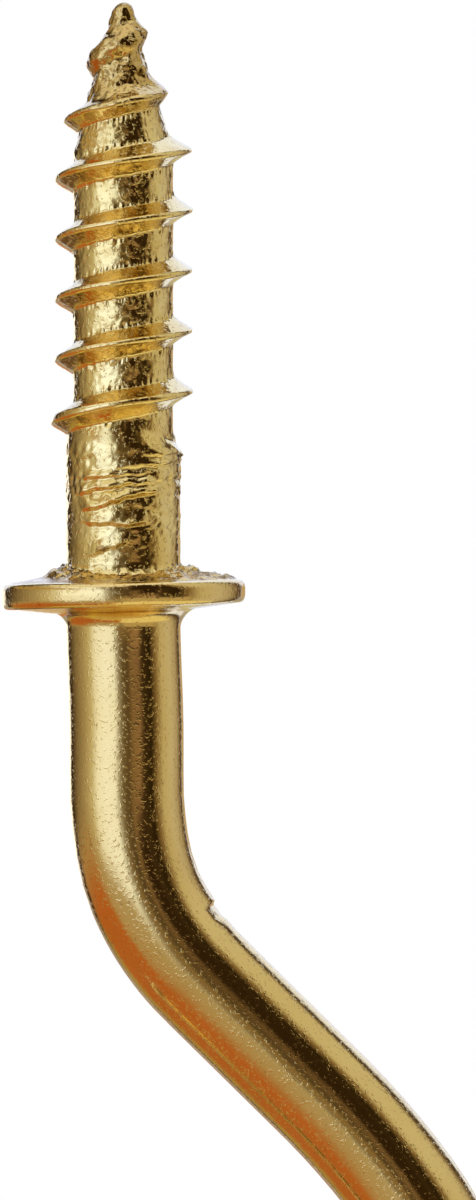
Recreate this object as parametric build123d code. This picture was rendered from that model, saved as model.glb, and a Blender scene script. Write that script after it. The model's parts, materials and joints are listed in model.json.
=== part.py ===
from build123d import *
import math
import os

# A shouldered cup hook: one length of round wire with a rolled wood thread and gimlet point
# at one end, an upset collar below the thread, and a cranked shank that runs into a round bowl.
# The origin is on the screw's axis at the collar's seat, +Z runs up the screw, and the hook
# lies in the XZ plane. All lengths are in millimetres, and angles in degrees.

# Wire and hook
wire_diameter = 3.0
reach = 32.0  # from the collar's seat down to the lowest point of the bowl
bowl_radius = 9.15  # to the middle of the wire, centred under the screw
crank_radius = 7.1  # where the shank leaves the screw's axis
crank_angle = 45.5
lead_in_radius = 20.6  # the slow turn back between the crank and the bowl
lead_in_angle = 9.5
end_rise_angle = 12.0  # how far the bowl climbs past the level of its centre

# Screw
screw_length = 15.2  # from the collar's seat to the point
core_diameter = 2.6
crest_diameter = 3.6
thread_pitch = 1.58
crest_width = 0.12
flank_angle = 33.0  # of each side of the ridge, from square to the axis
thread_phase = 297.0  # the ridge's direction at the height of the seat, counted from +X
point_length = 3.9
point_end_diameter = 0.64
point_end_rounding = 0.25
point_fade_length = 3.0  # over which the ridge dies away towards the point
plain_shank_length = 3.7  # from the collar's seat up to the shoulder of the core
core_shoulder_length = 0.45
run_out_length = 0.55  # over which the crest drops above the plain shank
lap_length = 1.3  # of the last turn, which is rolled flat against the plain shank
lap_height = 0.12  # by which that turn stands off the shank at most
lap_width = 0.5
lap_sink = 0.02  # how far its lower end is let into the shank
ridge_sink = 0.12  # how far the ridge's foot is set into the core

# Collar
collar_diameter = 6.4
rim_thickness = 0.56
rim_bulge = 0.12  # by which the collar's edge is rounded out
seat_width = 0.8  # of the flat ring that bears on the shelf
upset_height = 0.37  # of the cone of metal thrown up round the shank
dish_depth = 0.2  # by which the underside falls from the rim to the wire
neck_fillet = 0.42

wire_radius = wire_diameter / 2
core_radius = core_diameter / 2
crest_radius = crest_diameter / 2
collar_radius = collar_diameter / 2
point_end_radius = point_end_diameter / 2
point_base = screw_length - point_length
neck_height = -rim_thickness - dish_depth
seat_radius = collar_radius - rim_bulge


def crank_run():
    """Lengths of the straight shank and of the straight between crank and lead-in.

    They follow from the bowl being centred under the screw and from the hook's reach."""
    crank = math.radians(crank_angle)
    lead_out = math.radians(crank_angle - lead_in_angle)
    across = (
        bowl_radius * math.cos(lead_out)
        - lead_in_radius * (math.cos(lead_out) - math.cos(crank))
        - crank_radius * (1 - math.cos(crank))
    )
    slope = across / math.sin(crank)
    down = (
        crank_radius * math.sin(crank)
        + slope * math.cos(crank)
        + lead_in_radius * (math.sin(crank) - math.sin(lead_out))
        + bowl_radius * math.sin(lead_out)
    )
    shank = reach - wire_radius - bowl_radius - down
    return shank, slope


def turned_body(shank):
    """Point, core, plain shank, collar and straight shank, turned about the screw's axis."""
    screw = FilletPolyline(
        (0, screw_length),
        (point_end_radius, screw_length),
        (core_radius, point_base),
        (core_radius, plain_shank_length + core_shoulder_length),
        (wire_radius, plain_shank_length),
        (wire_radius, upset_height),
        (seat_radius - seat_width, 0),
        (seat_radius, 0),
        radius=[point_end_rounding, 0, 0, 0, 0, 0],
    )
    rim = ThreePointArc(screw @ 1, (collar_radius, -rim_thickness / 2), (seat_radius, -rim_thickness))
    neck = FilletPolyline(
        rim @ 1,
        (wire_radius, neck_height),
        (wire_radius, -shank),
        (0, -shank),
        (0, screw_length),
        radius=[neck_fillet, 0, 0],
    )
    return revolve(Plane.XZ * make_face(screw + rim + neck), Axis.Z)


def bent_wire(shank, slope):
    """The wire from the straight shank through crank and lead-in, round the bowl to its round end."""
    crank = JernArc((0, -shank), (0, -1), crank_radius, crank_angle)
    run = Line(crank @ 1, crank @ 1 + slope * (crank % 1))
    lead_in = JernArc(run @ 1, run % 1, lead_in_radius, -lead_in_angle)
    around = crank_angle - lead_in_angle + 180 + end_rise_angle
    bowl = JernArc(lead_in @ 1, lead_in % 1, bowl_radius, -around)
    path = Plane.XZ * (crank + run + lead_in + bowl)
    section = Plane(origin=path @ 0, z_dir=path % 0) * Circle(wire_radius)
    on_end = (Align.CENTER, Align.CENTER, Align.MIN)
    half_ball = Sphere(wire_radius, arc_size1=0, align=on_end)
    return sweep(section, path=path) + Plane(origin=path @ 1, z_dir=path % 1) * half_ball


def ramp(height, low, high, at_low, at_high):
    """A value that runs evenly from one height to another, and is constant outside them."""
    share = min(1, max(0, (height - low) / (high - low)))
    return at_low + share * (at_high - at_low)


def core_radius_at(height):
    """Radius of the turned core, which tapers along the point."""
    return ramp(height, point_base, screw_length, core_radius, point_end_radius)


def crest_at(height):
    """Radius and width of the ridge's crest: full along the thread, low and wide on the lap."""
    lap_bottom = plain_shank_length - lap_length
    run_out_top = plain_shank_length + run_out_length
    if height < plain_shank_length:
        lap_low = wire_radius - lap_sink
        lap_top = wire_radius + lap_height
        return ramp(height, lap_bottom, plain_shank_length, lap_low, lap_top), lap_width
    if height < run_out_top:
        radius = ramp(height, plain_shank_length, run_out_top, wire_radius + lap_height, crest_radius)
        return radius, ramp(height, plain_shank_length, run_out_top, lap_width, crest_width)
    full = crest_radius - core_radius
    stand = ramp(height, screw_length - point_fade_length, screw_length, full, -ridge_sink)
    return core_radius_at(height) + stand, crest_width


def ridge_corners(height):
    """The ridge's section at one height: foot and crest below, crest and foot above."""
    foot = core_radius_at(height) - ridge_sink
    crest, width = crest_at(height)
    foot_half = width / 2 + (crest - foot) * math.tan(math.radians(flank_angle))
    section = [(foot, -foot_half), (crest, -width / 2), (crest, width / 2), (foot, foot_half)]
    turn = math.radians(thread_phase + 360 * height / thread_pitch)
    return [
        Vector(radius * math.cos(turn), radius * math.sin(turn), height + rise)
        for radius, rise in section
    ]


def thread_ridge():
    """The helical ridge, a skin of ruled faces over each half turn, closed by a flat cap at each end."""
    steps_a_half_turn = 4
    bottom, top = plain_shank_length - lap_length, screw_length - point_end_radius
    half_turns = math.ceil(2 * (top - bottom) / thread_pitch)
    steps = half_turns * steps_a_half_turn
    sections = [ridge_corners(bottom + (top - bottom) * step / steps) for step in range(steps + 1)]
    faces = []
    for first in range(0, steps, steps_a_half_turn):
        span = sections[first : first + steps_a_half_turn + 1]
        edges = [Edge.make_spline(list(line)) for line in zip(*span)]
        faces += [Face.make_surface_from_curves(edges[k - 1], edges[k]) for k in range(4)]
    caps = [Face(Wire.make_polygon(sections[end])) for end in (0, -1)]
    return Solid(Shell(faces + caps))


def cup_hook():
    """The whole hook as one solid."""
    shank, slope = crank_run()
    return turned_body(shank) + bent_wire(shank, slope) + thread_ridge()


os.makedirs("parts", exist_ok=True)
hook = cup_hook()
hook.label = "cup_hook"
export_step(hook, "parts/cup_hook.step")
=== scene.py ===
import json
import math

import bpy
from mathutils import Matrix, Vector


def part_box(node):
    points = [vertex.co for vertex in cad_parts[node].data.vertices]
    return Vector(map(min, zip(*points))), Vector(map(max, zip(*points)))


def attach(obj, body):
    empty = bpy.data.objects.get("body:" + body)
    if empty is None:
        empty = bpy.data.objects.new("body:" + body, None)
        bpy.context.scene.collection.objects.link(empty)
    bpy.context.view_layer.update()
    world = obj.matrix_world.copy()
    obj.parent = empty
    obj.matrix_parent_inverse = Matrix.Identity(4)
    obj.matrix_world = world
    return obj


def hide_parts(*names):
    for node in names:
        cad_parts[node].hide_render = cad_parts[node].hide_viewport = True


# A brass cup hook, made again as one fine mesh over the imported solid: the rolled wood thread with
# its rough core and folded run-out, the upset collar, and the drawn wire of the hook.
# Lengths are in millimetres unless a name says otherwise, and are made metres at the end of the tree.
# Two limits in brackets are where a change starts and where it ends. A third is how soft both ends are.

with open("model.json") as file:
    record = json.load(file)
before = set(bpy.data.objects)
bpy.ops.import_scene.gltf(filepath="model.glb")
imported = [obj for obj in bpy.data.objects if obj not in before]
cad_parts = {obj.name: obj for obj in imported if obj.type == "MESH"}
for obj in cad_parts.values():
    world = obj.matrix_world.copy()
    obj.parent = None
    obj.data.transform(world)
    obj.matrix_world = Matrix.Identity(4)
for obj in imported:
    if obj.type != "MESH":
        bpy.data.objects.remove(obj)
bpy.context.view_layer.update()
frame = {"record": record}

MM = 0.001  # metres in a millimetre
FULL_TURN = 2 * math.pi

# Main sizes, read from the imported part
mounts = {mount["name"]: mount for mount in frame["record"]["mounts"]}
node_low, node_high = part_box("cup_hook")
screw_length = node_high.z / MM
reach = -node_low.z / MM
collar_radius = node_high.y / MM
bowl_inner_radius = mounts["hook_bowl"]["dims"]["r_mm"]
wire_radius = (node_high.x / MM - bowl_inner_radius) / 2
bowl_radius = bowl_inner_radius + wire_radius

# Bends of the wire, as in the part's source
crank_radius = 7.1
crank_angle = math.radians(45.5)
lead_in_radius = 20.6
lead_in_angle = math.radians(9.5)
end_rise_angle = math.radians(12.0)

# Screw and its point
core_radius = 1.3
thread_pitch = 1.58
thread_phase = math.radians(297.0)
screw_foot = 0.5  # height at which the screw's mesh meets the collar's
foot_blend = 0.15  # height above the foot over which folds and bumps come in
nose_length = 0.26
# Radius of the core, and stand of the ridge above it, by the distance below the point
POINT_TAPER = [(3.9, 1.30), (2.7, 0.95), (1.6, 0.65), (1.0, 0.52), (0.55, 0.38), (0.3, 0.30), (0.0, 0.24)]
POINT_STANDS = [(3.15, 0.50), (2.36, 0.31), (1.57, 0.28), (0.78, 0.20), (0.35, 0.0)]
# Leans of the point: distances below it between which each comes in, and its shift towards +X
POINT_LEANS = [(3.0, 1.6, -0.06), (1.4, 0.3, 0.07)]

# Shoulder between core and shank, which is lowest and shortest towards +X
shoulder_height = 3.85
shoulder_drop = 0.3
shoulder_half_length = 0.45
shoulder_half_change = 0.28
shoulder_blend = 0.3  # height either side of its middle over which the core's bumps come in

# Ridge of the thread
flank_width = 0.31
upper_flank_more = 0.05
point_flank_more = 0.14
flank_hollow = 1.2  # power of the flank's curve, over one where it is hollow
point_hollow_more = 0.5
ridge_rises = (3.5, 4.1)  # heights between which it rises from the shank
crest_narrows = (4.0, 5.2)
crest_half_widths = (0.10, 0.045)  # below and above those heights
point_starts = (3.0, 2.2)  # distances below the point between which its own shape comes in
blunt_starts = (2.1, 1.6)  # and those between which the ridge turns blunt

# Random bumps: height, or share of the height that they vary, and count to a millimetre
STAND_BUMP_SHARES = [(0.2, 1.2)]
CORE_BUMPS = [(0.022, 2.5), (0.024, 7.0)]
POINT_BUMPS = [(0.26, 1.9), (0.20, 3.6), (0.07, 7.0)]
SHANK_BUMPS = [(0.03, 2.0), (0.02, 7.0)]
CRINKLES = [(0.07, 5.0)]
FOLD_STRAYS = [(0.22, 1.1), (0.11, 4.0)]
FOLD_BUMP_SHARES = [(2.6, 2.2)]
CRUMBS = [(0.20, 2.6), (0.28, 6.0)]
CHIP_SHARES = [(1.2, 3.0)]
crest_smooth_share = 0.8  # of the core's bumps that the ridge leaves out
point_bump_shares = (0.3, 0.5)  # of the point's bumps all over, and for each millimetre of radius

# Ticks where the flanks rise from the core
tick_depth = 0.09
ticks_per_radian = 15.0
ticks_per_mm = 1.2
tick_gaps = (0.34, 0.50, 0.06)  # distances from the crest

# Folds on the shank: height at the axis, rise for each millimetre towards +X, thickness and length
# of the layer above the edge, depth of the groove below it, and how far it runs across the front
FOLDS = [
    (3.30, 0.02, 0.06, 0.30, 0.03, 0.55, 1.8),
    (2.95, 0.14, 0.06, 0.22, 0.05, -0.2, 1.5),
    (2.76, 0.09, 0.07, 0.16, 0.05, -0.98, 0.6),
    (2.48, 0.15, 0.10, 0.24, 0.07, -1.05, 1.1),
    (2.70, 0.02, 0.02, 0.15, 0.12, 1.15, 1.8),
    (2.13, 0.27, 0.12, 0.32, 0.03, -1.03, 0.9),
    (1.52, 0.00, 0.07, 0.34, 0.03, -0.9, 0.7),
    (0.98, 0.28, 0.07, 0.34, 0.00, -0.86, 0.1),
]
fold_edge = 0.06
fold_end = 0.12
groove_bottom = 0.10
groove_edge = 0.03

# Flakes and crinkles round the folds, by height and by distance towards +X
flake_rise = 0.05
flakes_across = 2.08  # to a millimetre
flakes_up = 4.16
flake_heights = (1.2, 3.1, 0.15)
flake_sides = (-0.2, 0.7)
flake_side_shares = (0.25, 1.0)
bumpy_heights = (0.6, 3.6, 0.2)
crinkle_heights = (2.1, 3.6, 0.2)
crinkle_sides = (-0.4, -0.8)

# Collar
rim_thickness = 0.64
rim_round = 0.2
rim_squareness = 0.72
upset_height = 0.43
upset_waist = (0.17, 2.1)  # height and radius where the thrown-up metal flattens out
dish_depth = 0.12
neck_fillet = 0.46
collar_tilt = math.tan(math.radians(0.9))
underside_tilt = math.tan(math.radians(1.6))  # more than the top's, so the rim is thinner towards +X
collar_nod = math.tan(math.radians(1.3))
tilt_blend = 0.4  # distance out from the wire over which the tilt comes in
tilt_ends = (2.0, 2.4)  # distances along the wire between which it ends
rim_waves = (0.06, 1.4)  # height, and count for each radian
rim_bulges = (0.05, 1.2)
rim_bulge_draw = 3.0  # place in the random lumps, away from that of the waves

# Rough ring thrown up on the collar
seat_radius = collar_radius - rim_round
seat_edge = 0.03  # height either side of the seat between top and rim
foot_edge = 0.02  # height of the smooth ring below the screw's foot
seat_fall = 0.02  # from the ring's outer edge to the seat
crumb_radius = 2.95
ring_gap = 0.05  # between the shank and the crumbs' own finish
crumb_limits = (2.7, 2.3)  # radii between which the crumbs come in
crumb_shift = 0.45  # of their ring towards +X
crumb_stand = 0.03
crumb_shares = (0.4, 0.6)  # of the crumbs that lie all round, and at the sides alone
front_drop_share = 0.65  # by which the ring is lower at the front and back

# Bow of the shank towards +X between collar and crank, which the straight solid leaves out
shank_bow = 0.085
bow_starts = (-0.9, -4.0)  # heights
bow_ends = (-8.2, -6.0)

# Burr inside the crank, with a nick after it
burr_at = 9.4  # along the wire from the seat
burr_length = 1.2
burr_height = 0.025
burr_top = 0.1  # distance before its end from which it has its full height
nick_depth = 0.065
nick_length = 0.9
nick_floor = 0.2  # distance past the burr's end to which it has its full depth
nick_wall = (-0.04, 0.06)  # along the wire from the burr's end
burr_side_shares = (0.75, 0.95)  # of the radius, towards the inside of the crank

# Fineness of the mesh
columns = 180
fan = 0.3  # how much closer its columns lie at the front than on average
seam_angle = 1.5 * math.pi  # from the seam at the back, past the front, to +X
rows_per_pitch = 32
wire_row_length = 0.62
burr_row_length = 0.05
bend_step = math.radians(1.0)
waist_steps = 16
seat_steps = 3
rim_steps = 18
dish_steps = 12
fillet_steps = 12
ball_steps = 12
weld_distance = 0.0004

# Brass, with colours as red, green, blue and alpha, and its grain counted to a metre
PIT_COLOUR = (0.30, 0.17, 0.05, 1.0)
POINT_COLOUR = (0.68, 0.49, 0.20, 1.0)
point_dulls = (11.6, 13.2)  # heights between which the point's own dull colour comes in
point_grain_more = 1.2
pit_share = 0.45
pit_coarseness = 0.8
pit_levels = (-0.12, -0.26)  # of the random lumps
patch_levels = (-0.2, 0.25)
grain_level = 0.20
patch_dulling = 0.05
pit_dulling = 0.05

# What the polish shows round about, by degrees from the camera's side, to the right
WALLS = [
    (-180, (0.92, 1.02, 1.34)),
    (-154, (0.92, 1.02, 1.34)),
    (-149, (0.03, 0.02, 0.01)),
    (-138, (0.05, 0.03, 0.015)),
    (-118, (0.22, 0.17, 0.10)),
    (-92, (0.40, 0.34, 0.21)),
    (-74, (0.60, 0.56, 0.38)),
    (-60, (0.96, 1.04, 1.15)),
    (-40, (1.02, 1.14, 1.38)),
    (-22, (0.98, 1.10, 1.30)),
    (-13, (0.36, 0.34, 0.30)),
    (-5, (0.13, 0.10, 0.055)),
    (6, (0.09, 0.06, 0.03)),
    (16, (0.28, 0.18, 0.09)),
    (28, (0.34, 0.21, 0.12)),
    (36, (0.05, 0.03, 0.012)),
    (54, (0.02, 0.012, 0.004)),
    (66, (0.24, 0.16, 0.07)),
    (80, (0.56, 0.50, 0.31)),
    (104, (0.60, 0.56, 0.45)),
    (124, (0.46, 0.40, 0.30)),
    (138, (0.14, 0.09, 0.045)),
    (147, (0.04, 0.025, 0.012)),
    (152, (0.92, 1.02, 1.34)),
    (180, (0.92, 1.02, 1.34)),
]
wall_turn = 10.0  # degrees by which the walls are turned high up
wall_turn_levels = (0.25, 0.65)

# Patches on the walls, in the order in which they are laid: colour, share, from and to in level and
# in degrees from the camera's side. A level is the sine of the elevation.
ALL_ROUND = (-200.0, 200.0, 1.0)
BEYOND = 2.0  # a level past straight up or, negative, straight down
LEVEL_PATCHES = [
    ((1.14, 1.30, 1.62), 1.0, (0.036, 0.30, 0.012), (-62.0, -20.0, 4.0)),  # bright, front left
    ((0.58, 0.42, 0.20), 1.0, (-0.10, 0.10, 0.04), (151.0, 176.0, 2.0)),  # haze, back right
    ((1.50, 1.45, 1.40), 1.0, (-0.09, 0.09, 0.03), (-200.0, -152.5, 2.5)),  # light, back left
    ((0.42, 0.36, 0.29), 1.0, (-0.36, -0.09, 0.04), (151.0, 200.0, 2.0)),  # dim, low back right
    ((0.42, 0.36, 0.29), 1.0, (-0.36, -0.09, 0.04), (-200.0, -151.0, 2.0)),  # dim, low back left
]
HIGH_AND_LOW_PATCHES = [
    ((0.14, 0.08, 0.04), 1.0, (-0.88, -0.38, 0.04), (-200.0, -149.0, 3.0)),  # dark, below back left
    ((0.42, 0.31, 0.09), 1.0, (-0.92, -0.30, 0.06), (-150.0, -110.0, 4.0)),  # amber, below far left
    ((0.82, 0.80, 0.68), 1.0, (0.71, BEYOND, 0.07), (-120.0, 2.0, 8.0)),  # soft light, overhead left
    ((0.46, 0.32, 0.12), 0.85, (0.33, 0.52, 0.05), (-140.0, -48.0, 10.0)),  # brown, high left
    ((0.64, 0.60, 0.43), 1.0, (0.45, BEYOND, 0.15), (66.0, 125.0, 8.0)),  # pale, high right
    ((0.24, 0.165, 0.075), 1.0, (-0.15, -0.025, 0.02), (-9.0, 8.0, 3.0)),  # dim, below the camera
    ((0.50, 0.40, 0.20), 1.0, (-0.70, -0.12, 0.05), (-2.0, 70.0, 6.0)),  # warm, low front right
    ((0.84, 0.74, 0.38), 1.0, (-BEYOND, -0.53, 0.05), (-26.0, 120.0, 6.0)),  # pale table, right
    ((0.58, 0.44, 0.10), 1.0, (-BEYOND, -0.785, 0.025), (-140.0, -6.0, 8.0)),  # amber table, left
]
ROOF_AND_TABLE = [
    ((0.95, 0.92, 0.82), 1.0, (0.905, BEYOND, 0.045), ALL_ROUND),  # roof
    ((0.56, 0.38, 0.12), 1.0, (-BEYOND, -0.915, 0.035), ALL_ROUND),  # table
]

# Dark wall to the right of the camera, away from its level and, a little above it, in a narrower stretch
DARK_WALL = (0.03, 0.016, 0.006, 1.0)
dark_levels = (0.08, 0.34)
dark_sides = (6.0, 36.0, 5.0)
dark_low_levels = (0.026, 0.042)
dark_low_sides = (15.0, 36.0, 4.0)

# Warm wall low behind the hook, in two colours
WARM_LEFT = (0.60, 0.25, 0.08, 1.0)
WARM_RIGHT = (0.60, 0.52, 0.24, 1.0)
warm_levels = (-0.36, -0.09, 0.04)
warm_degrees = (166.0, 172.0)
warm_split = (-0.08, 0.02)  # shares of the way to +X between which one turns into the other

# The lower left, by degrees above the horizon
LOW_LEFT_WALL = [
    (-70, (0.46, 0.15, 0.04)),
    (-50, (0.48, 0.15, 0.035)),
    (-43, (0.50, 0.145, 0.033)),
    (-37, (0.44, 0.21, 0.075)),
    (-30, (0.46, 0.34, 0.18)),
    (-18, (0.46, 0.38, 0.23)),
]
low_left_top = (-0.12, -0.27)
low_left_bottom = (-0.80, -0.75)
low_left_sides = (-136.0, -6.0, 6.0)
far_left_degrees = (-54.0, -94.0)
far_left_lift = 0.36  # by which its colours lie higher at the far left
far_left_top_lift = 0.08


# Node trees, written as arithmetic


class Formula:
    """A number that a node tree works out at each point, written with the usual signs of arithmetic."""

    def __init__(self, work, socket):
        self.work = work
        self.socket = socket

    def __add__(self, other):
        return self.work.maths("ADD", self, other)

    def __radd__(self, other):
        return self.work.maths("ADD", other, self)

    def __sub__(self, other):
        return self.work.maths("SUBTRACT", self, other)

    def __rsub__(self, other):
        return self.work.maths("SUBTRACT", other, self)

    def __mul__(self, other):
        return self.work.maths("MULTIPLY", self, other)

    def __rmul__(self, other):
        return self.work.maths("MULTIPLY", other, self)

    def __truediv__(self, other):
        return self.work.maths("DIVIDE", self, other)

    def __pow__(self, other):
        return self.work.maths("POWER", self, other)


class Workings:
    """A node tree while it is being built."""

    def __init__(self, tree):
        self.tree = tree

    def feed(self, value, socket):
        """Links a formula or an output to an input, or sets the input's own value."""
        if isinstance(value, Formula):
            self.tree.links.new(value.socket, socket)
        elif isinstance(value, bpy.types.NodeSocket):
            self.tree.links.new(value, socket)
        else:
            socket.default_value = value

    def add(self, kind, inputs=None, **options):
        """Adds a node, sets its options, and feeds its inputs by name or number."""
        node = self.tree.nodes.new(kind)
        for name, value in options.items():
            setattr(node, name, value)
        for name, value in (inputs or {}).items():
            self.feed(value, node.inputs[name])
        return node

    def maths(self, operation, *values):
        """One step of arithmetic."""
        node = self.add("ShaderNodeMath", dict(enumerate(values)), operation=operation)
        return Formula(self, node.outputs[0])

    def slide(self, value, low, high, at_low=0.0, at_high=1.0, smooth=True):
        """Runs from one value to another between two limits, and stays level outside them."""
        node = self.add(
            "ShaderNodeMapRange",
            {"Value": value, "From Min": low, "From Max": high, "To Min": at_low, "To Max": at_high},
            interpolation_type="SMOOTHSTEP" if smooth else "LINEAR",
        )
        return Formula(self, node.outputs[0])

    def window(self, value, low, high, edge):
        """One between two limits and nothing outside them, with soft edges."""
        start = self.slide(value, low - edge, low + edge)
        return start * self.slide(value, high - edge, high + edge, 1.0, 0.0)

    def table(self, value, stops):
        """Runs straight from stop to stop of a list of values and results."""
        total = stops[0][1]
        for (low, at_low), (high, at_high) in zip(stops, stops[1:]):
            total = self.slide(value, low, high, 0.0, at_high - at_low, False) + total
        return total

    def place(self, x, y, z):
        """A point made of three numbers."""
        return self.add("ShaderNodeCombineXYZ", {0: x, 1: y, 2: z}).outputs[0]

    def parts(self, vector):
        """The three numbers of a point."""
        node = self.add("ShaderNodeSeparateXYZ", {0: vector})
        return [Formula(self, output) for output in node.outputs]

    def vector_maths(self, operation, *values):
        """One step of arithmetic on points."""
        return self.add("ShaderNodeVectorMath", dict(enumerate(values)), operation=operation).outputs[0]

    def lumps(self, place, scale, detail=0.0, roughness=0.5):
        """Smooth random lumps, from about -0.5 to 0.5, so many to a unit of length."""
        node = self.add(
            "ShaderNodeTexNoise",
            {"Vector": place, "Scale": scale, "Detail": detail, "Roughness": roughness},
        )
        return Formula(self, node.outputs["Fac"]) - 0.5

    def bumps(self, place, layers):
        """Random lumps of several sizes, each with its own height and count."""
        total = 0.0
        for height, count in layers:
            total = total + height * self.lumps(place, count)
        return total

    def flakes(self, place):
        """Flat random patches with sharp borders, from -0.5 to 0.5."""
        node = self.add("ShaderNodeTexVoronoi", {"Vector": place, "Scale": 1.0})
        return self.parts(node.outputs["Color"])[0] - 0.5


# The wire's centre line and the collar's outline


def straight_lengths():
    """Lengths of the straight shank and of the slope after the crank, from reach and bowl."""
    lead_out = crank_angle - lead_in_angle
    across = bowl_radius * math.cos(lead_out)
    across -= lead_in_radius * (math.cos(lead_out) - math.cos(crank_angle))
    across -= crank_radius * (1 - math.cos(crank_angle))
    slope = across / math.sin(crank_angle)
    down = crank_radius * math.sin(crank_angle) + slope * math.cos(crank_angle)
    down += lead_in_radius * (math.sin(crank_angle) - math.sin(lead_out))
    down += bowl_radius * math.sin(lead_out)
    return reach - wire_radius - bowl_radius - down, slope


def centre_line():
    """Points along the middle of the wire from the screw's foot to its round end, with its length."""
    shank, slope = straight_lengths()
    around = crank_angle - lead_in_angle + math.pi + end_rise_angle
    runs = [
        (screw_foot + shank, 0.0),
        (crank_radius * crank_angle, crank_angle),
        (slope, 0.0),
        (lead_in_radius * lead_in_angle, -lead_in_angle),
        (bowl_radius * around, -around),
        (wire_radius, 0.0),
    ]
    points = [Vector((0.0, 0.0, screw_foot))]
    heading = 0.0  # from straight down, towards +X
    for length, turn in runs:
        steps = max(1, round(abs(turn) / bend_step))
        step = length / steps
        half_turn = turn / steps / 2
        chord = step * math.sin(half_turn) / half_turn if turn else step
        for _ in range(steps):
            middle = heading + half_turn
            points.append(points[-1] + chord * Vector((math.sin(middle), 0.0, -math.cos(middle))))
            heading += turn / steps
    return points, sum(length for length, _ in runs)


def outline(wire_length):
    """Distance along the wire and radius of each row of the collar and wire."""
    rows = [(0.0, wire_radius), (screw_foot - upset_height, wire_radius)]

    def run(to_height, to_radius, steps):
        start_along, start_radius = rows[-1]
        for step in range(1, steps + 1):
            share = step / steps
            along = start_along + share * (screw_foot - to_height - start_along)
            rows.append((along, start_radius + share * (to_radius - start_radius)))

    run(*upset_waist, waist_steps)
    run(seat_fall, crumb_radius, waist_steps)
    run(0.0, seat_radius, seat_steps)
    for step in range(1, rim_steps + 1):
        turn = math.pi * step / rim_steps
        drop = math.copysign(abs(math.cos(turn)) ** rim_squareness, math.cos(turn))
        height = -rim_thickness / 2 * (1 - drop)
        rows.append((screw_foot - height, seat_radius + rim_round * math.sin(turn) ** rim_squareness))
    fillet_radius = wire_radius + neck_fillet
    fillet_top = -rim_thickness - dish_depth
    run(fillet_top, fillet_radius, dish_steps)
    for step in range(1, fillet_steps + 1):
        turn = math.pi / 2 * step / fillet_steps
        height = fillet_top - neck_fillet * (1 - math.cos(turn))
        rows.append((screw_foot - height, fillet_radius - neck_fillet * math.sin(turn)))
    wire_start = rows[-1][0]
    ball_start = wire_length - wire_radius
    burr_start = screw_foot + burr_at - burr_length
    burr_end = screw_foot + burr_at + burr_length
    stretches = [
        (wire_start, burr_start, wire_row_length),
        (burr_start, burr_end, burr_row_length),
        (burr_end, ball_start, wire_row_length),
    ]
    for low, high, length in stretches:
        steps = round((high - low) / length)
        rows += [(low + (high - low) * step / steps, wire_radius) for step in range(1, steps + 1)]
    for step in range(1, ball_steps):
        turn = math.pi / 2 * step / ball_steps
        rows.append((ball_start + wire_radius * math.sin(turn), wire_radius * math.cos(turn)))
    rows.append((wire_length, 0.0))
    return rows


def curve_of(name, points):
    """A poly curve through points."""
    curve = bpy.data.curves.new(name, "CURVE")
    curve.dimensions = "3D"
    spline = curve.splines.new("POLY")
    spline.points.add(len(points) - 1)
    for spline_point, point in zip(spline.points, points):
        spline_point.co = (*point, 1.0)
    made = bpy.data.objects.new(name, curve)
    bpy.context.scene.collection.objects.link(made)
    return made


# The screw's mesh


def ring_angle(work, across):
    """Angle of a grid's column about the axis from +X, with the seam at the back."""
    return across - fan * work.maths("SINE", across) - math.pi / 2


def thread_ridge(work, pitch, angle, height, below_point, near_point):
    """How high the thread's ridge is at each point, from nothing to one, and how far off its crest is."""
    turns = height / pitch - (angle - thread_phase) / FULL_TURN
    off_crest = (turns - work.maths("ROUND", turns)) * pitch
    gap = work.maths("ABSOLUTE", off_crest)
    above = work.maths("GREATER_THAN", off_crest, 0.0)
    flank = flank_width + upper_flank_more * above + point_flank_more * near_point
    crest_half = work.slide(height, *crest_narrows, *crest_half_widths)
    away = work.slide(gap, crest_half, flank + crest_half, 0.0, 1.0, False)
    sharp = (1.0 - away) ** (flank_hollow + point_hollow_more * near_point * above)
    blunt = work.slide(away, 0.0, 1.0, 1.0, 0.0)
    return sharp + (blunt - sharp) * work.slide(below_point, *blunt_starts), gap


def rolled_core(work, spot, cosine, sine, height, ridge, by_flank):
    """Bumps of the rolled core, with ticks where the flanks rise from it."""
    tick_place = work.place(cosine * ticks_per_radian, sine * ticks_per_radian, height * ticks_per_mm)
    ticks = tick_depth * work.lumps(tick_place, 1.0) * by_flank
    return work.bumps(spot, CORE_BUMPS) * (1.0 - crest_smooth_share * ridge) + ticks


def run_out(work, spot, aside, inward, height):
    """The last turn, rolled out in folds that overlap downwards on the shank, and the crumples round it."""
    stray = height + work.bumps(spot, FOLD_STRAYS)
    raised = 0.0
    for at_axis, slope, rise, run, groove, left, right in FOLDS:
        over = stray - aside * slope - at_axis
        layer = work.slide(over, 0.0, run, 1.0, 0.0, False)
        layer = layer * work.slide(over, -fold_edge, 0.0, 0.0, 1.0, False)
        below = work.window(over, -groove_bottom, -fold_edge, groove_edge)
        there = work.window(aside, left, right, fold_end) * (1.0 + work.bumps(spot, FOLD_BUMP_SHARES))
        raised = there * (layer * rise - below * groove) + raised
    flake_place = work.place(aside * flakes_across, inward * flakes_across, height * flakes_up)
    flaky = work.window(height, *flake_heights) * work.slide(aside, *flake_sides, *flake_side_shares)
    raised = raised + flake_rise * work.flakes(flake_place) * flaky
    raised = raised + work.bumps(spot, SHANK_BUMPS) * work.window(height, *bumpy_heights)
    crinkled = work.window(height, *crinkle_heights) * work.slide(aside, *crinkle_sides)
    return raised + work.bumps(spot, CRINKLES) * crinkled


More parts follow.
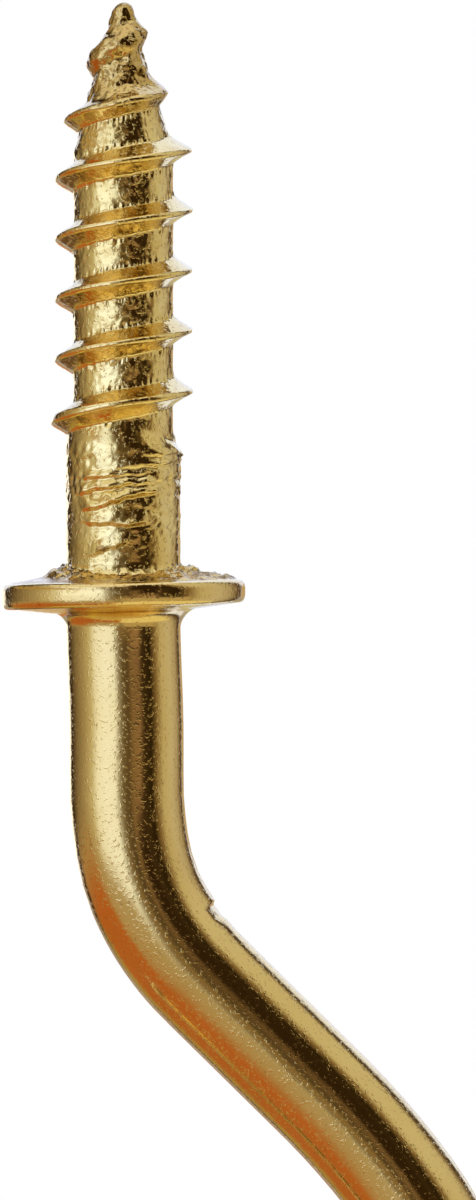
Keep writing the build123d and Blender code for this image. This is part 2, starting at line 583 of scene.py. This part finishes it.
def screw_mesh(work, size):
    """The screw from its foot to its point: rows of a grid that climb with the thread."""
    row_step = thread_pitch / rows_per_pitch
    lowest = screw_foot - thread_pitch
    crest_rows = (lowest / thread_pitch + (seam_angle + thread_phase) / FULL_TURN) * rows_per_pitch
    lowest -= (crest_rows - math.floor(crest_rows)) * row_step  # so that rows lie on the crest
    rows = math.ceil((screw_length - lowest) / row_step) + 1
    grid_height = (rows - 1) * row_step
    grid = work.add(
        "GeometryNodeMeshGrid",
        {"Size X": FULL_TURN, "Size Y": grid_height, "Vertices X": columns + 1, "Vertices Y": rows},
    )
    across, up, _ = work.parts(work.add("GeometryNodeInputPosition").outputs[0])
    angle = ring_angle(work, across)
    cosine = work.maths("COSINE", angle)
    sine = work.maths("SINE", angle)
    pitch = size["Thread pitch"]
    climb = (up + (grid_height / 2 + lowest)) + pitch * ((angle + seam_angle) / FULL_TURN)
    height = work.maths("MINIMUM", work.maths("MAXIMUM", climb, screw_foot), size["Screw length"])
    below_point = size["Screw length"] - height
    near_point = work.slide(below_point, *point_starts)

    # Shank, shoulder, and core with its taper to the point
    taper = work.table(below_point, POINT_TAPER[::-1])
    level = height + shoulder_drop * cosine - shoulder_height
    shoulder_half = shoulder_half_length - shoulder_half_change * cosine
    shoulder = work.slide(level / shoulder_half, -1.0, 1.0, size["Wire radius"], size["Core radius"])
    base = shoulder + taper - size["Core radius"]
    aside = base * cosine
    inward = base * sine
    spot = work.place(aside, inward, height)

    # Ridge of the thread
    ridge, gap = thread_ridge(work, pitch, angle, height, below_point, near_point)
    stand = work.table(below_point, POINT_STANDS[::-1]) * work.slide(height, *ridge_rises)
    stand = stand * (1.0 + work.bumps(spot, STAND_BUMP_SHARES))

    # Roughness of core and point, and folds on the shank
    by_flank = work.window(gap, *tick_gaps) * (1.0 - near_point)
    rough = rolled_core(work, spot, cosine, sine, height, ridge, by_flank)
    rough = rough * work.slide(level, -shoulder_blend, shoulder_blend)
    least, more = point_bump_shares
    rough = rough + work.bumps(spot, POINT_BUMPS) * near_point * (least + more * base)
    over_foot = work.slide(height, screw_foot, screw_foot + foot_blend)
    rough = rough + run_out(work, spot, aside, inward, height) * over_foot

    # Rounded nose, and lean of the point
    nose = work.slide(below_point, nose_length, 0.0, 0.0, 1.0, False)
    close = work.maths("SQRT", work.maths("MAXIMUM", 1.0 - nose * nose, 0.0))
    radius = (base + stand * ridge + rough) * close
    lean = 0.0
    for start, end, shift in POINT_LEANS:
        lean = work.slide(below_point, start, end, 0.0, shift) + lean
    place = work.place(radius * cosine + lean, radius * sine, height)
    return work.add("GeometryNodeSetPosition", {"Geometry": grid.outputs[0], "Position": place}).outputs[0]


# The collar's and the wire's mesh


def collar_rise(work, cosine, sine, radius, height, on_rim):
    """Lift of the collar's surface: the rough ring thrown up on it, its tilt and its slight waves."""
    at_sides = cosine * cosine
    on_top = work.slide(height, -seat_edge, seat_edge)
    on_top = on_top * work.slide(height, upset_height, screw_foot - foot_edge, 1.0, 0.0)
    lower = height * (front_drop_share * at_sides - front_drop_share)
    all_round, sides_alone = crumb_shares
    spot = work.place(radius * cosine, radius * sine, height)
    crumbs = (crumb_stand + work.bumps(spot, CRUMBS)) * (all_round + sides_alone * at_sides)
    crumbs = crumbs * work.slide(radius - crumb_shift * cosine, *crumb_limits)
    wave_height, wave_count = rim_waves
    wave = wave_height * work.lumps(work.place(cosine, sine, 0.0), wave_count)
    tilt = work.slide(height, 0.0, -rim_thickness, collar_tilt, underside_tilt)
    lift = radius * (cosine * tilt + sine * collar_nod) + wave
    return (lower + crumbs) * on_top + lift * on_rim


def crank_burr(work, cosine, sine, along):
    """Height of the burr inside the crank, and depth of the nick after it."""
    past = along - (screw_foot + burr_at)
    burr = work.slide(past, -burr_length, -burr_top) * work.slide(past, *nick_wall, 1.0, 0.0)
    nick = work.slide(past, *nick_wall) * work.slide(past, nick_floor, nick_length, 1.0, 0.0)
    chips = 1.0 + work.bumps(work.place(past, sine, 0.0), CHIP_SHARES)
    return (burr_height * burr - nick_depth * nick) * chips * work.slide(cosine, *burr_side_shares)


def wire_mesh(work, path, rows, row_count):
    """The collar and the wire: rings of a grid set along the centre line."""
    grid = work.add(
        "GeometryNodeMeshGrid",
        {"Size X": FULL_TURN, "Size Y": row_count - 1.0, "Vertices X": columns + 1, "Vertices Y": row_count},
    )
    position = work.add("GeometryNodeInputPosition").outputs[0]
    across, down, _ = work.parts(position)
    angle = ring_angle(work, across)
    cosine = work.maths("COSINE", angle)
    sine = work.maths("SINE", angle)
    row_place = work.add("GeometryNodeSampleIndex", data_type="FLOAT_VECTOR")
    work.feed(rows, row_place.inputs["Geometry"])
    work.feed(position, row_place.inputs["Value"])
    work.feed(work.maths("ROUND", down + (row_count - 1) / 2), row_place.inputs["Index"])
    along, radius, _ = work.parts(row_place.outputs[0])
    height = screw_foot - along

    # Collar, bow of the shank, and burr
    on_rim = work.slide(radius, wire_radius, wire_radius + tilt_blend)
    on_rim = on_rim * work.slide(along, *tilt_ends, 1.0, 0.0)
    rise = collar_rise(work, cosine, sine, radius, height, on_rim)
    bulge_height, bulge_count = rim_bulges
    bulge = bulge_height * work.lumps(work.place(cosine, sine, rim_bulge_draw), bulge_count)
    reach_out = radius + bulge * on_rim + crank_burr(work, cosine, sine, along)
    bow = shank_bow * work.slide(height, *bow_starts) * work.slide(height, *bow_ends)

    # Rings square to the centre line
    follow = work.add("GeometryNodeSampleCurve", {"Curves": path, "Length": along}, mode="LENGTH")
    side = work.vector_maths("CROSS_PRODUCT", follow.outputs["Tangent"], (0.0, 1.0, 0.0))
    offset = work.vector_maths("SCALE", side)
    work.feed(reach_out * cosine, offset.node.inputs["Scale"])
    place = work.vector_maths("ADD", follow.outputs["Position"], offset)
    place = work.vector_maths("ADD", place, work.place(bow, reach_out * sine, rise))
    return work.add("GeometryNodeSetPosition", {"Geometry": grid.outputs[0], "Position": place}).outputs[0]


# The whole mesh


def with_material(work, geometry, material, where=True):
    """Gives a material to all of a geometry, or to its faces in one place."""
    given = {"Geometry": geometry, "Selection": where, "Material": material}
    return work.add("GeometryNodeSetMaterial", given).outputs[0]


def with_finishes(work, geometry, screw_brass, crumb_brass):
    """Gives the collar's top the screw's finish, and the crumbs on it their own."""
    x, y, z = [part / MM for part in work.parts(work.add("GeometryNodeInputPosition").outputs[0])]
    on_top = work.maths("GREATER_THAN", z - x * collar_tilt - y * collar_nod, -seat_edge)
    from_axis = work.maths("SQRT", x * x + y * y)
    in_ring = on_top * work.maths("GREATER_THAN", from_axis, wire_radius + ring_gap)
    in_ring = in_ring * work.maths("LESS_THAN", from_axis, crumb_radius)
    in_ring = in_ring * work.maths("LESS_THAN", z, 2 * screw_foot)
    return with_material(work, with_material(work, geometry, screw_brass, on_top), crumb_brass, in_ring)


def hook_mesh(screw_brass, wire_brass, crumb_brass):
    """Builds the tree, runs it once, and gives the plain mesh of the whole hook."""
    points, wire_length = centre_line()
    rows = outline(wire_length)
    path = curve_of("wire_path", points)
    row_table = bpy.data.objects.new("wire_rows", bpy.data.meshes.new("wire_rows"))
    row_table.data.from_pydata([(along, radius, 0.0) for along, radius in rows], [], [])
    bpy.context.scene.collection.objects.link(row_table)

    tree = bpy.data.node_groups.new("Cup hook", "GeometryNodeTree")
    tree.interface.new_socket("Geometry", in_out="INPUT", socket_type="NodeSocketGeometry")
    tree.interface.new_socket("Geometry", in_out="OUTPUT", socket_type="NodeSocketGeometry")
    rows_socket = tree.interface.new_socket("Rows", in_out="INPUT", socket_type="NodeSocketObject")
    sizes = {
        "Thread pitch": thread_pitch,
        "Screw length": screw_length,
        "Core radius": core_radius,
        "Wire radius": wire_radius,
    }
    sockets = {}
    for name in sizes:
        sockets[name] = tree.interface.new_socket(name, in_out="INPUT", socket_type="NodeSocketFloat")

    work = Workings(tree)
    start = work.add("NodeGroupInput")
    size = {name: Formula(work, start.outputs[name]) for name in sizes}
    row_points = work.add("GeometryNodeObjectInfo", {"Object": start.outputs["Rows"]}).outputs["Geometry"]
    screw = with_material(work, screw_mesh(work, size), screw_brass)
    wire = wire_mesh(work, start.outputs["Geometry"], row_points, len(rows))
    wire = with_material(work, work.add("GeometryNodeFlipFaces", {"Mesh": wire}).outputs[0], wire_brass)
    joined = work.add("GeometryNodeJoinGeometry")
    work.feed(screw, joined.inputs[0])
    work.feed(wire, joined.inputs[0])
    welding = {"Geometry": joined.outputs[0], "Distance": weld_distance}
    closed = work.add("GeometryNodeMergeByDistance", welding)
    scaled = work.add("GeometryNodeTransform", {"Geometry": closed.outputs[0], "Scale": (MM, MM, MM)})
    smooth = work.add("GeometryNodeSetShadeSmooth", {"Geometry": scaled.outputs[0]})
    real = work.add("GeometryNodeRealizeInstances", {"Geometry": smooth.outputs[0]})
    end = work.add("NodeGroupOutput")
    work.feed(with_finishes(work, real.outputs[0], screw_brass, crumb_brass), end.inputs[0])

    modifier = path.modifiers.new("Cup hook", "NODES")
    modifier.node_group = tree
    modifier[rows_socket.identifier] = row_table
    for name, value in sizes.items():
        modifier[sockets[name].identifier] = value
    graph = bpy.context.evaluated_depsgraph_get()
    mesh = bpy.data.meshes.new_from_object(path.evaluated_get(graph))
    for helper in (path, row_table):
        bpy.data.objects.remove(helper)
    for number in reversed(range(len(mesh.materials))):
        if mesh.materials[number] is None:
            mesh.materials.pop(index=number)
    return mesh


# Materials


def blend(work, share, first, second):
    """One colour turning into another."""
    first_colour, second_colour, mixed_colour = 6, 7, 2  # the Mix node's sockets, which share their names
    given = {"Factor": share, first_colour: first, second_colour: second}
    return work.add("ShaderNodeMix", given, data_type="RGBA").outputs[mixed_colour]


def brass_grain():
    """A grain that every brass here shares: its height, duller patches and dark pits."""
    group = bpy.data.node_groups.new("brass grain", "ShaderNodeTree")
    group.interface.new_socket("Place", in_out="INPUT", socket_type="NodeSocketVector")
    for name in ("Grain", "Patch size", "Bareness"):
        group.interface.new_socket(name, in_out="INPUT", socket_type="NodeSocketFloat")
    for name in ("Height", "Patch", "Pit"):
        group.interface.new_socket(name, in_out="OUTPUT", socket_type="NodeSocketFloat")
    work = Workings(group)
    given = work.add("NodeGroupInput").outputs
    place = given["Place"]
    grain = Formula(work, given["Grain"])
    patch_size = Formula(work, given["Patch size"])
    bareness = Formula(work, given["Bareness"])
    height = work.slide(work.lumps(place, grain, detail=2.0, roughness=0.6) - bareness, 0.0, grain_level)
    patch = work.slide(work.lumps(place, patch_size, detail=3.0, roughness=0.6), *patch_levels)
    pit = work.slide(work.lumps(place, grain * pit_coarseness, detail=2.0, roughness=0.6), *pit_levels)
    end = work.add("NodeGroupOutput")
    for value, socket in zip((height, patch, pit), end.inputs):
        work.feed(value, socket)
    return group


def brass(name, group, colour, dull, roughness, grain, grain_depth, bareness, patch_size):
    """A brass with its own colours, polish, and depth and fineness of grain."""
    material = bpy.data.materials.new(name)
    material.use_nodes = True
    material.node_tree.nodes.clear()
    work = Workings(material.node_tree)
    shader = work.add("ShaderNodeBsdfPrincipled", {"Metallic": 1.0})
    out = work.add("ShaderNodeOutputMaterial")
    work.feed(shader.outputs[0], out.inputs["Surface"])
    place = work.add("ShaderNodeTexCoord").outputs["Object"]
    shared = work.add("ShaderNodeGroup", node_tree=group)
    given = {"Place": place, "Grain": grain, "Patch size": patch_size, "Bareness": bareness}
    for socket_name, value in given.items():
        work.feed(value, shared.inputs[socket_name])
    patch = Formula(work, shared.outputs["Patch"])
    pit = Formula(work, shared.outputs["Pit"])
    at_point = work.slide(work.parts(place)[2] / MM, *point_dulls)
    tone = blend(work, at_point, blend(work, patch, colour, dull), POINT_COLOUR)
    work.feed(blend(work, pit * pit_share, tone, PIT_COLOUR), shader.inputs["Base Color"])
    work.feed(roughness + patch_dulling * patch + pit_dulling * pit, shader.inputs["Roughness"])
    height = Formula(work, shared.outputs["Height"]) * (1.0 + point_grain_more * at_point)
    depth = {"Height": height, "Strength": 1.0, "Distance": grain_depth * MM}
    work.feed(work.add("ShaderNodeBump", depth).outputs[0], shader.inputs["Normal"])
    return material


# Studio


def shades(work, value, stops):
    """A run of colours over a value from 0 to 1."""
    ramp = work.add("ShaderNodeValToRGB", {"Fac": value})
    elements = ramp.color_ramp.elements
    while len(elements) < len(stops):
        elements.new(0.5)
    for element, (position, _) in zip(elements, stops):
        element.position = position
    for element, (_, colour) in zip(elements, stops):
        element.color = (*colour, 1.0)
    return ramp.outputs[0]


def with_patches(work, wall, level, azimuth, patches):
    """Lays patches of plain colour over a wall."""
    for colour, share, levels, sides in patches:
        there = work.window(level, *levels) * work.window(azimuth, *sides)
        wall = blend(work, share * there, wall, (*colour, 1.0))
    return wall


def dark_share(work, level, azimuth):
    """Where the dark wall stands."""
    steep = work.maths("ABSOLUTE", level)
    main = work.slide(steep, *dark_levels) * work.window(azimuth, *dark_sides)
    low = work.slide(level, *dark_low_levels) * work.window(azimuth, *dark_low_sides)
    return work.maths("MAXIMUM", main, low)


def with_low_left(work, wall, level, azimuth):
    """Lays the run of warm colours at the lower left over a wall."""
    far_left = work.slide(azimuth, *far_left_degrees)
    stops = [(0.5 + math.sin(math.radians(degrees)) / 2, colour) for degrees, colour in LOW_LEFT_WALL]
    low_left = shades(work, (level - far_left_lift * far_left) * 0.5 + 0.5, stops)
    there = work.slide(level - far_left_top_lift * far_left, *low_left_top)
    there = there * work.slide(level, *low_left_bottom)
    return blend(work, there * work.window(azimuth, *low_left_sides), wall, low_left)


def studio():
    """A white backdrop for the camera, and walls round the hook that its polish shows."""
    world = bpy.data.worlds.new("studio")
    bpy.context.scene.world = world
    world.use_nodes = True
    world.node_tree.nodes.clear()
    work = Workings(world.node_tree)
    x, y, level = work.parts(work.add("ShaderNodeTexCoord").outputs["Generated"])
    azimuth = work.maths("ARCTAN2", x, 0.0 - y) * (180 / math.pi)
    turned = azimuth + wall_turn * work.slide(level, *wall_turn_levels)
    stops = [(0.5 + degrees / 360, colour) for degrees, colour in WALLS]
    wall = shades(work, turned / 360 + 0.5, stops)
    wall = blend(work, dark_share(work, level, azimuth), wall, DARK_WALL)
    wall = with_patches(work, wall, level, azimuth, LEVEL_PATCHES)
    warm = work.slide(work.maths("ABSOLUTE", azimuth), *warm_degrees) * work.window(level, *warm_levels)
    wall = blend(work, warm, wall, blend(work, work.slide(x, *warm_split), WARM_LEFT, WARM_RIGHT))
    wall = with_patches(work, wall, level, azimuth, HIGH_AND_LOW_PATCHES)
    wall = with_low_left(work, wall, level, azimuth)
    wall = with_patches(work, wall, level, azimuth, ROOF_AND_TABLE)
    seen = work.add("ShaderNodeLightPath").outputs["Is Camera Ray"]
    walls = work.add("ShaderNodeBackground", {"Color": wall, "Strength": 1.0})
    plain = work.add("ShaderNodeBackground", {"Color": (1.0, 1.0, 1.0, 1.0), "Strength": 1.0})
    both = work.add("ShaderNodeMixShader", {0: seen, 1: walls.outputs[0], 2: plain.outputs[0]})
    out = work.add("ShaderNodeOutputWorld")
    work.feed(both.outputs[0], out.inputs["Surface"])


def overhead_light():
    """A wide soft light over the floor, which the polish doesn't show. Its sizes are in metres."""
    width, height, watts = 0.6, 0.6, 1.6
    data = bpy.data.lights.new("overhead light", "AREA")
    data.shape = "DISK"
    data.size = width
    data.energy = watts
    made = bpy.data.objects.new("overhead light", data)
    made.location = (0.0, 0.0, height)
    made.visible_glossy = False
    bpy.context.scene.collection.objects.link(made)


def floor():
    """A pale round floor a little below the hook. Its sizes are in metres."""
    radius, sides, gap = 0.4, 96, 0.004
    turns = [FULL_TURN * side / sides for side in range(sides)]
    rim = [(radius * math.cos(turn), radius * math.sin(turn), node_low.z - gap) for turn in turns]
    mesh = bpy.data.meshes.new("floor")
    mesh.from_pydata(rim, [], [list(range(sides))])
    material = bpy.data.materials.new("pale floor")
    material.use_nodes = True
    shader = material.node_tree.nodes["Principled BSDF"]
    shader.inputs["Base Color"].default_value = (0.86, 0.86, 0.85, 1.0)
    shader.inputs["Roughness"].default_value = 0.9
    mesh.materials.append(material)
    made = bpy.data.objects.new("floor", mesh)
    bpy.context.scene.collection.objects.link(made)
    made.visible_glossy = False


def camera():
    """The camera of the photograph: level with the collar, a little below, with a long lens."""
    distance = 300.0
    frame_height = 31.44  # what the picture takes in, at the hook
    elevation = math.radians(-1.0)
    target = Vector((3.005, 0.0, -0.472))  # in the middle of the picture
    back = Vector((0.0, -math.cos(elevation), math.sin(elevation)))
    data = bpy.data.cameras.new("camera")
    data.sensor_width = 36.0
    data.lens = data.sensor_width * distance / frame_height
    data.clip_start = 0.01
    data.clip_end = 10.0
    made = bpy.data.objects.new("camera", data)
    made.location = (target + distance * back) * MM
    made.rotation_euler = (-back).to_track_quat("-Z", "Y").to_euler()
    bpy.context.scene.collection.objects.link(made)
    bpy.context.scene.camera = made


# The hook in its studio

grain_group = brass_grain()
screw_brass = brass(
    "rolled brass",
    grain_group,
    colour=(0.94, 0.77, 0.40, 1.0),
    dull=(0.86, 0.65, 0.26, 1.0),
    roughness=0.07,
    grain=9500.0,
    grain_depth=0.0075,
    bareness=0.03,
    patch_size=900.0,
)
wire_brass = brass(
    "drawn brass",
    grain_group,
    colour=(0.89, 0.69, 0.33, 1.0),
    dull=(0.85, 0.64, 0.28, 1.0),
    roughness=0.09,
    grain=10000.0,
    grain_depth=0.004,
    bareness=0.03,
    patch_size=450.0,
)
crumb_brass = brass(
    "crumbled brass",
    grain_group,
    colour=(0.82, 0.60, 0.23, 1.0),
    dull=(0.34, 0.19, 0.06, 1.0),
    roughness=0.14,
    grain=9500.0,
    grain_depth=0.006,
    bareness=0.0,
    patch_size=3000.0,
)
hook = bpy.data.objects.new("brass_hook", hook_mesh(screw_brass, wire_brass, crumb_brass))
bpy.context.scene.collection.objects.link(hook)
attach(hook, "root")
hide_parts("cup_hook")

studio()
overhead_light()
floor()
camera()
bpy.context.scene.view_settings.view_transform = "Standard"
